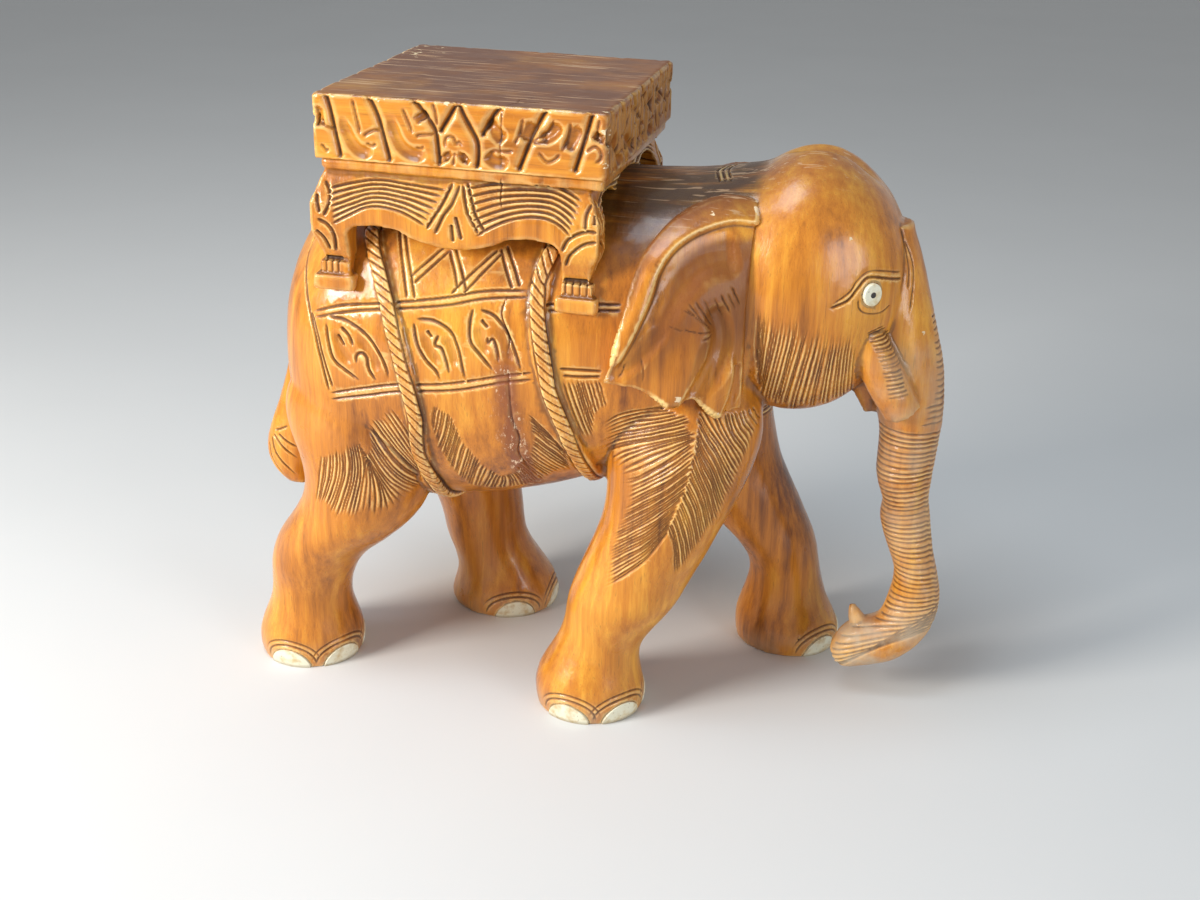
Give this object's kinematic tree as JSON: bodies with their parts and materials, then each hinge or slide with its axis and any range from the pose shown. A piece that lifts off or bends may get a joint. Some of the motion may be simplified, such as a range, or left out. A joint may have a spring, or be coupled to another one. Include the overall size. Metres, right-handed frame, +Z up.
{
  "type": "carved elephant stool",
  "caption": "Low stool carved as a walking elephant that carries a square, frieze-edged seat block on an arched stand.",
  "frame": {"origin": "on the floor, under the middle of the whole carving", "axes": "+X towards the elephant's head, +Y towards its left side, +Z up"},
  "size_m": [0.5411, 0.2368, 0.46],
  "materials": {
    "carved_hardwood": "golden to red-brown varnish, satin gloss, darker in the grooves",
    "seat_hardwood": "dark brown worn top, golden carved frieze",
    "dowel_wood": "bare wood",
    "bone_inlay": "cream bone or resin, satin",
    "pupil_dark": "dark brown, glossy"
  },
  "bodies": {
    "root": {"body_block": "carved_hardwood", "ear_left": "carved_hardwood", "ear_peg_left": "dowel_wood", "ear_peg_right": "dowel_wood", "ear_right": "carved_hardwood", "eye_pupil_left": "pupil_dark", "eye_pupil_right": "pupil_dark", "eye_white_left": "bone_inlay", "eye_white_right": "bone_inlay", "head_block": "carved_hardwood", "howdah_stand": "carved_hardwood", "neck_dowel_lower": "dowel_wood", "neck_dowel_upper": "dowel_wood", "seat_block": "seat_hardwood", "seat_dowel_front_left": "dowel_wood", "seat_dowel_front_right": "dowel_wood", "seat_dowel_rear_left": "dowel_wood", "seat_dowel_rear_right": "dowel_wood", "stand_peg_front_left": "dowel_wood", "stand_peg_front_right": "dowel_wood", "stand_peg_rear_left": "dowel_wood", "stand_peg_rear_right": "dowel_wood", "toenail_front_left_1": "bone_inlay", "toenail_front_left_2": "bone_inlay", "toenail_front_left_3": "bone_inlay", "toenail_front_right_1": "bone_inlay", "toenail_front_right_2": "bone_inlay", "toenail_front_right_3": "bone_inlay", "toenail_rear_left_1": "bone_inlay", "toenail_rear_left_2": "bone_inlay", "toenail_rear_left_3": "bone_inlay", "toenail_rear_right_1": "bone_inlay", "toenail_rear_right_2": "bone_inlay", "toenail_rear_right_3": "bone_inlay", "tusk_left": "bone_inlay", "tusk_stub_right": "bone_inlay"}
  },
  "joints": []
}
